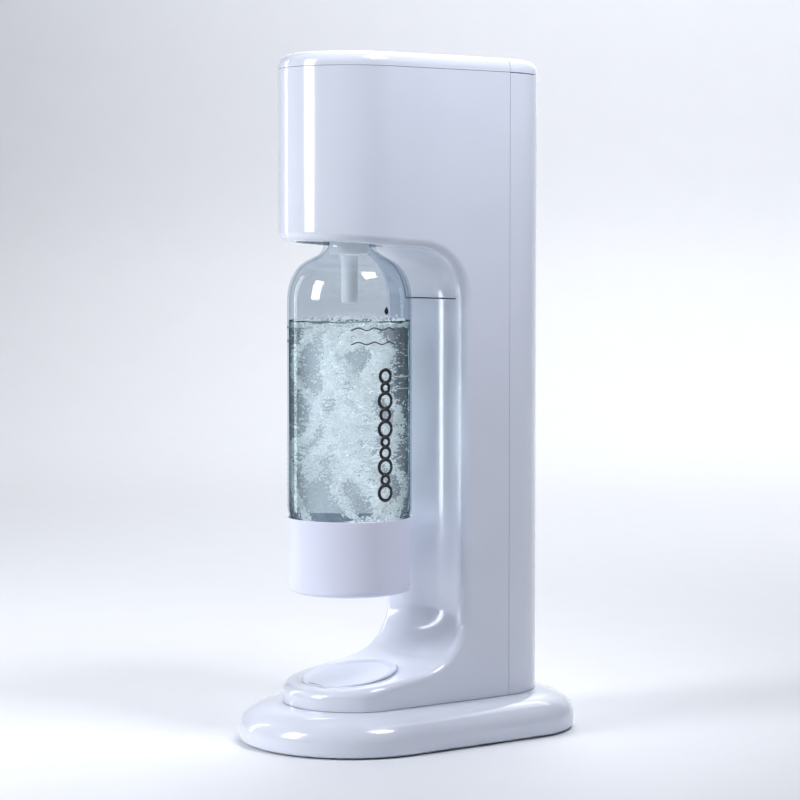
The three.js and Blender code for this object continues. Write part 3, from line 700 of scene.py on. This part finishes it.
def spring():
    turns, wire, radius, z0, z1 = 4, 0.6, 5.0, 407.9, 420.1
    steps, sides = turns * 28, 12
    verts, faces = [], []
    for i in range(steps + 1):
        t = i / steps
        angle = 2 * math.pi * turns * t
        out = Vector((math.cos(angle), math.sin(angle), 0))
        middle = out * radius + Vector((0, 0, z0 + (z1 - z0) * t))
        for k in range(sides):
            a = 2 * math.pi * k / sides
            verts.append(tuple(middle + out * wire * math.cos(a) + Vector((0, 0, wire * math.sin(a)))))
    for i in range(steps):
        for k in range(sides):
            a, b = i * sides + k, i * sides + (k + 1) % sides
            faces.append((a, b, b + sides, a + sides))
    faces += [tuple(range(sides - 1, -1, -1)), tuple(range(steps * sides, (steps + 1) * sides))]
    coil = outward(piece("button_spring_fine", verts, faces, STEEL))
    finish_surface(coil, 50)
    place(coil, "machine", "steel", "button_spring")
    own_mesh(coil)


# ---- tilting holder ----
def bottle_holder():
    collar = [(19.2, 339), (26, 339), (27, 341), (27, 361), (19.2, 361), (19.2, 339)]
    ring = lathe("holder_shell", rounded(collar, 0.8), SHELL, sides=128)
    band = cut(bay_cutter(SHIELD_BACK), bay_cutter(SHIELD_FRONT))
    half = SHIELD_HALF_WIDTH
    meet(band, block("keep", (-half, 8, SHIELD_BOTTOM), (half, 80, SHIELD_TOP)))
    rebate = block("rebate", (-60, 0, 280), (60, 90, SHIELD_BOTTOM + 3))
    cut(band, cut(rebate, bay_cutter(SHIELD_LIP)))
    bevel(band, lambda edge, angle: angle > math.radians(40), 0.2, 2)
    deck = block("deck", (-27, 12, 336.2), (27, 24, 345))
    join(band, deck)
    cut(band, post("clear", 0, 0, 300, 400, NECK_CLEARANCE))
    join(ring, band)
    for side in (-1, 1):
        xs = sorted((side * 24, side * 31))
        ear = block("ear", (xs[0], -6, TILT_AXIS - 7), (xs[1], 6, TILT_AXIS + 8))
        join(ring, cut(ear, post("clear", 0, 0, 300, 400, NECK_CLEARANCE)))
    finish_surface(ring, 20)
    place(ring, "holder", "glossy_shell", "bottle_holder")


def nozzle():
    z = MOUTH + 2.7
    washer = [(12, MOUTH + 0.3), (18.4, MOUTH + 0.3), (18.4, MOUTH + 2.4), (12, MOUTH + 2.4)]
    turned_part("bottle_seal_fine", washer, RUBBER, "holder", "rubber", ["bottle_seal"], 0.6, close=True)
    body = [(8.3, z), (24, z), (24, z + 9), (20, z + 14), (0, z + 14), (0, z + 6), (8.3, z + 6), (8.3, z)]
    turned_part("nozzle_block_fine", body, GREY, "holder", "grey_plastic", ["nozzle_block"], 1.0)
    tube = [(1.2, 299), (1.4, 297.3), (4.8, 297), (5.7, 299), (5.7, 326), (6.6, 329.6), (13, 330.2),
            (13.4, 331.5), (13.4, 358), (8, 359.5), (8, z + 5.7), (1.2, z + 5.7)]
    turned_part("nozzle_tube_fine", tube, NOZZLE, "holder", "white_nozzle", ["carbonating_nozzle"], 0.8,
                close=True)
    valve = [(0, z + 14.3), (5, z + 14.3), (5, z + 22), (3, z + 24), (0, z + 24)]
    turned_part("relief_valve_fine", valve, BRASS, "holder", "brass", ["relief_valve"], 0.5, (11.0, 0.0), 48)


# ---- bottle ----
def shoulder():
    """The bottle's shoulder from the straight wall up to the neck, as (r, z)."""
    r = PET_RADIUS
    return [(r, 299), (r - 0.35, 304), (r - 1.3, 309), (r - 3.0, 314), (r - 6.2, 319.6), (r - 9, 322.7),
            (r - 12.4, 325.2), (r - 16.6, 327.4), (21.2, 329.4), (18.7, 331.8), (NECK_RADIUS, 335)]


def bottle():
    r, n, w = PET_RADIUS, NECK_RADIUS, PET_WALL
    waist, foot = r - 1.2, BOTTLE_BOTTOM + 2.6
    outer = [(0, foot + 5), (14, foot + 2.6), (26, foot), (34, foot + 1), (waist - 1, foot + 8),
             (waist, foot + 16), (waist, CUP_TOP - 1), (r - 0.5, CUP_TOP + 2.4), (r, CUP_TOP + 5)]
    outer += shoulder()
    outer += [(n, 349), (n + 0.2, 349.4), (n + 1.2, 350.2), (n + 0.2, 351.2), (n, 353), (n + 1.2, 354),
              (n + 0.1, 355.4), (n, 357), (n + 1.2, 358), (n, MOUTH)]
    inner = [(14.2, MOUTH), (14.2, 335)] + [(a - w * 1.4, b - w * 0.6) for a, b in reversed(shoulder()[:-1])]
    inner += [(r - w, CUP_TOP + 5), (waist - w, CUP_TOP - 1), (waist - w, foot + 16), (34 - w, foot + 2.2),
              (26, foot + w), (14, foot + 3.6), (0, foot + 6)]
    pet = lathe("bottle_fine", outer + inner, PET, sides=144)
    finish_surface(pet, 60)
    place(pet, "bottle", "bottle_clear", "bottle")
    r, z = BOTTLE_RADIUS, BOTTLE_BOTTOM
    cup = [(0, z + 1), (32, z + 0.6), (36.5, z), (r - 1.6, z + 1.6), (r - 0.9, z + 6), (r, CUP_TOP),
           (r - 1.2, CUP_TOP), (r - 1.2, z + 17), (r - 2.8, z + 9), (34.5, z + 2.2), (0, z + 2.2)]
    turned_part("base_cup_fine", cup, CUP, "bottle", "glossy_shell", ["bottle_base_cup"], 3.0, sides=144)


def water():
    """The water fills the bottle to its fill line, with small waves on its top from the falling gas jets."""
    r = PET_RADIUS - 1.05
    foot = BOTTLE_BOTTOM + 3.8
    profile = [(0, foot + 5.4), (26, foot), (33, foot + 1.5), (r - 2, foot + 9), (r - 1.2, foot + 16),
               (r - 1.2, CUP_TOP - 1), (r, CUP_TOP + 5), (r, WATER_LEVEL + 0.6), (r - 0.5, WATER_LEVEL)]
    profile += [(radius, WATER_LEVEL) for radius in np.linspace(r - 3, 1, 14)] + [(0, WATER_LEVEL)]
    body = lathe("water", profile, WATER, sides=144)
    random = np.random.RandomState(7)
    waves = [(random.uniform(0, math.pi), random.uniform(0.12, 0.5), random.uniform(0, 6.28))
             for _ in range(7)]
    for vert in body.data.vertices:
        x, y, z = vert.co.x / MM, vert.co.y / MM - AXIS_Y, vert.co.z / MM
        if z > WATER_LEVEL - 0.1 and math.hypot(x, y) < r - 1:
            lift = sum(math.sin(k * (x * math.cos(a) + y * math.sin(a)) + p) for a, k, p in waves)
            vert.co.z += 0.32 * lift * MM
    finish_surface(body, 60)
    body.visible_shadow = False
    place(body, "bottle", "bottle_clear")


def ball(level):
    """The corners and triangles of a round bead of radius 1."""
    work = bmesh.new()
    bmesh.ops.create_icosphere(work, subdivisions=level, radius=1.0)
    verts = np.array([v.co[:] for v in work.verts])
    faces = np.array([[v.index for v in f.verts] for f in work.faces])
    work.free()
    return verts, faces


def beads(name, centres, sizes, level):
    """Many small balls as one piece, at centres (n, 3) with radii sizes (n)."""
    shape, tris = ball(level)
    points = (shape[None] * sizes[:, None, None] + centres[:, None]).reshape(-1, 3)
    count = len(shape)
    faces = (tris[None] + (np.arange(len(sizes)) * count)[:, None, None]).reshape(-1, 3)
    mesh = bpy.data.meshes.new(name)
    mesh.from_pydata((points + [0, AXIS_Y, 0]) * MM, [], faces.tolist())
    mesh.materials.append(FOAM)
    mesh.shade_smooth()
    return place(new_object(name, mesh), "bottle", "bottle_clear")


def inside(points):
    """Which points lie in the water."""
    out = np.hypot(points[:, 0], points[:, 1])
    height = points[:, 2]
    return (out < BOTTLE_RADIUS - 3.4) & (height > BOTTLE_BOTTOM + 9) & (height < WATER_LEVEL + 3)


def fizz():
    """Gas leaves the nozzle in jets that fall, spread and curl, with beads thickest along each jet."""
    random = np.random.RandomState(21)
    clouds, fine = [], []
    for _ in range(11):
        angle = random.uniform(0, 2 * math.pi)
        spot = np.array([random.normal(0, 3.0), random.normal(0, 3.0), 293.0])
        spread = random.uniform(0.03, 0.24)
        heading = np.array([spread * math.cos(angle), spread * math.sin(angle), -1.0])
        turn, swing = random.uniform(0.15, 0.4), random.uniform(0, 2 * math.pi)
        steps = random.randint(34, 66)
        for step in range(steps):
            curl = np.array([math.cos(swing + turn * step), math.sin(swing + turn * step), 0]) * 0.75
            spot = spot + (heading + curl + random.normal(0, 0.25, 3)) * 3.0
            out = np.hypot(*spot[:2])
            if out > JET_REACH:
                spot[:2] *= JET_REACH / out
            width = 1.8 + 1.8 * step / steps
            number = int(24 + 30 * (1 - step / steps))
            clouds.append(spot + random.normal(0, width * 0.55, (number, 3)))
            fine.append(spot + random.normal(0, width * 1.1, (number // 2, 3)))
    clouds, fine = np.concatenate(clouds), np.concatenate(fine)
    clouds, fine = clouds[inside(clouds)], fine[inside(fine)]
    beads("fizz_clouds", clouds, random.uniform(0.3, 1.15, len(clouds)), 1)
    beads("fizz_fine", fine, random.uniform(0.14, 0.45, len(fine)), 1)
    stray = clouds[::12]
    stray = stray * [1.3, 1.3, 1.0] + random.normal(0, 2.2, stray.shape)
    stray = stray[inside(stray)]
    beads("fizz_stray", stray, random.uniform(0.25, 0.8, len(stray)), 1)
    count, near = 900, 38.4
    angle = random.uniform(0, 2 * math.pi, count)
    height = random.uniform(158, WATER_LEVEL, count)
    wall = np.stack([near * np.cos(angle), near * np.sin(angle), height], 1)
    beads("fizz_on_wall", wall, random.uniform(0.25, 0.8, count) * random.uniform(0.4, 1, count), 2)
    count, near = 1500, 38
    angle, out = random.uniform(0, 2 * math.pi, count), near * np.sqrt(random.uniform(0, 1, count))
    height = WATER_LEVEL + random.normal(-1.2, 1.3, count)
    froth = np.stack([out * np.cos(angle), out * np.sin(angle), height], 1)
    beads("fizz_froth", froth, random.uniform(0.3, 1.3, count), 1)


# ---- generic marks on the bottle ----
def printed(name, verts, faces):
    """A sheet of faces given the thickness of a film of ink."""
    obj = piece(name, verts, faces, INK)
    step = obj.modifiers.new("ink", "SOLIDIFY")
    step.thickness = INK_THICKNESS * MM
    return apply_modifiers(obj)


def wrapped(name, strokes, width, radius=BOTTLE_RADIUS - 0.22):
    """Thin printed strokes on the bottle: each is a run of (angle in degrees, height) points."""
    verts, faces = [], []
    for stroke in strokes:
        start = len(verts)
        for index, (angle, z) in enumerate(stroke):
            before, after = stroke[max(index - 1, 0)], stroke[min(index + 1, len(stroke) - 1)]
            run = math.radians(after[0] - before[0]) * radius
            along = Vector((run, after[1] - before[1])).normalized()
            side = Vector((-along.y, along.x)) * width / 2
            for sign in (-1, 1):
                a = math.radians(angle) + sign * side.x / radius
                verts.append((radius * math.cos(a), radius * math.sin(a), z + sign * side.y))
        for i in range(start, len(verts) - 2, 2):
            faces.append((i, i + 1, i + 3, i + 2))
    obj = printed(name, verts, faces)
    obj.data.shade_smooth()
    return place(obj, "bottle", "bottle_clear")


def waves(first, last):
    """The wavy fill lines between two angles round the bottle, in degrees."""
    return [[(a, z + 0.8 * math.sin(math.radians(a) * 24)) for a in np.arange(first, last, 1.0)]
            for z in FILL_LINE_HEIGHTS]


def marks():
    wrapped("fill_lines", waves(-33, 12) + waves(-140, -112), 0.8)
    drop = [(0.0, 0.0), (1.5, -2.4), (1.7, -3.9), (0.9, -5.2), (0.0, -5.6)]
    top, turn, radius = 295.6, 1.0, BOTTLE_RADIUS - 0.2
    verts = []
    for half, down in drop:
        for side in (-1, 1):
            a = math.radians(turn + side * half * 1.35)
            verts.append((radius * math.cos(a), radius * math.sin(a), top + down))
    faces = [(i, i + 1, i + 3, i + 2) for i in range(0, len(verts) - 2, 2)]
    place(printed("drop_mark", verts, faces), "bottle", "bottle_clear")
    rings, z = [], 166.5
    for size in (5.0, 3.0, 5.0, 3.8, 3.0, 5.0, 3.8, 5.0, 3.0, 4.2):
        z += size
        rings.append([(math.degrees(size * math.cos(t) / BOTTLE_RADIUS), z + size * math.sin(t))
                      for t in np.linspace(0, 2 * math.pi, 41)])
        z += size + 0.6
    wrapped("bubble_rings", rings, 2.3)
    ticks = [[(a, z) for a in np.arange(-131, -131 + (9 if index % 4 else 15), 1.0)]
             for index, z in enumerate(np.arange(160, 216, 3.5))]
    wrapped("scale_ticks", ticks, 0.5)


# ---- carried-over CAD nodes: better materials only ----
def dress_frame():
    looks = {
        "base_bottom_cover": GREY, "cylinder_rest_pad": RUBBER, "inner_frame": DARK, "press_lever": STEEL,
        "lever_pin": STEEL, "gas_valve_nut": STEEL, "cylinder_seal": RUBBER, "gas_hose": DARK,
        "tilt_pin_left": STEEL, "tilt_pin_right": STEEL,
    }
    for index in range(1, 5):
        looks[f"base_screw_{index}"] = STEEL
        looks[f"frame_screw_{index}"] = STEEL
    for node, material in looks.items():
        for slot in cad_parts[node].material_slots:
            slot.material = material


# ---- stage, light and camera ----
def stage():
    """A floor that sweeps up into a backdrop, square to the camera."""
    rows = [(-2600, 0), (-300, 0), (400, 0), (1400, 0), (2300, 0), (2700, 60), (3000, 260), (3150, 620),
            (3200, 3200)]
    away = Vector((-math.sin(CAMERA_TURN), math.cos(CAMERA_TURN)))
    across = Vector((math.cos(CAMERA_TURN), math.sin(CAMERA_TURN)))
    verts = []
    for reach, height in rows:
        for side in (-4200, 4200):
            p = away * reach + across * side
            verts.append((p.x, p.y, height))
    faces = [(i, i + 1, i + 3, i + 2) for i in range(0, len(verts) - 2, 2)]
    paper = solid_material("pale_sweep", (0.84, 0.85, 0.88), (0.85, 0.86, 0.89), 0.7, bump=0.01)
    floor = piece("studio_sweep", verts, faces, paper)
    step = floor.modifiers.new("curve", "SUBSURF")
    step.levels = 3
    step.render_levels = 3
    apply_modifiers(floor)
    floor.data.shade_smooth()


def area_light(name, position, target, size, power, colour):
    light = bpy.data.lights.new(name, "AREA")
    light.shape = "RECTANGLE"
    light.size, light.size_y = size[0] * MM, size[1] * MM
    light.energy = power
    light.color = colour
    obj = new_object(name, light)
    obj.location = at(*position)
    obj.rotation_euler = (at(*target) - at(*position)).to_track_quat("-Z", "Y").to_euler()
    return obj


def lights():
    world = bpy.data.worlds.new("studio")
    world.use_nodes = True
    sky = world.node_tree.nodes["Background"]
    sky.inputs["Color"].default_value = (0.80, 0.87, 1.0, 1)
    sky.inputs["Strength"].default_value = 0.10
    bpy.context.scene.world = world
    area_light("key_front", (-230, -1220, 720), (0, 0, 250), (420, 800), 13, (0.94, 0.96, 1.0))
    area_light("strip_left", (-1080, -500, 460), (0, 30, 300), (110, 900), 2.4, (0.92, 0.95, 1.0))
    top = area_light("top_right", (420, 160, 950), (48, 60, 440), (300, 300), 0.95, (0.90, 0.92, 1.0))
    top.data.spread = math.radians(70)
    area_light("rim_back_left", (-900, 800, 900), (0, 60, 300), (600, 900), 1.2, (0.9, 0.95, 1.0))
    area_light("backdrop_wash", (-1500, 1900, 2300), (-2300, 2700, 200), (2400, 1600), 52,
               (0.97, 0.98, 1.0))
    area_light("overhead", (-500, 700, 2000), (0, 50, 0), (1500, 1500), 14, (0.97, 0.98, 1.0))


def camera():
    distance, across, eye = 1673.6, 34.16, 331.9
    x = across * math.cos(CAMERA_TURN) + distance * math.sin(CAMERA_TURN)
    y = across * math.sin(CAMERA_TURN) - distance * math.cos(CAMERA_TURN)
    data = bpy.data.cameras.new("camera")
    data.lens = 111.3
    data.sensor_width = 36
    obj = new_object("camera", data)
    obj.location = at(x, y, eye)
    obj.rotation_euler = Euler((math.pi / 2 - CAMERA_DIP, 0, CAMERA_TURN), "XYZ")
    bpy.context.scene.camera = obj


camera()
base_plate()
main_housing()
drip_dish()
rear_cover()
top_covers()
button()
gas_side()
feet()
spring()
bottle_holder()
nozzle()
bottle()
water()
fizz()
marks()
dress_frame()
stage()
lights()
bpy.context.scene.view_settings.view_transform = "Standard"
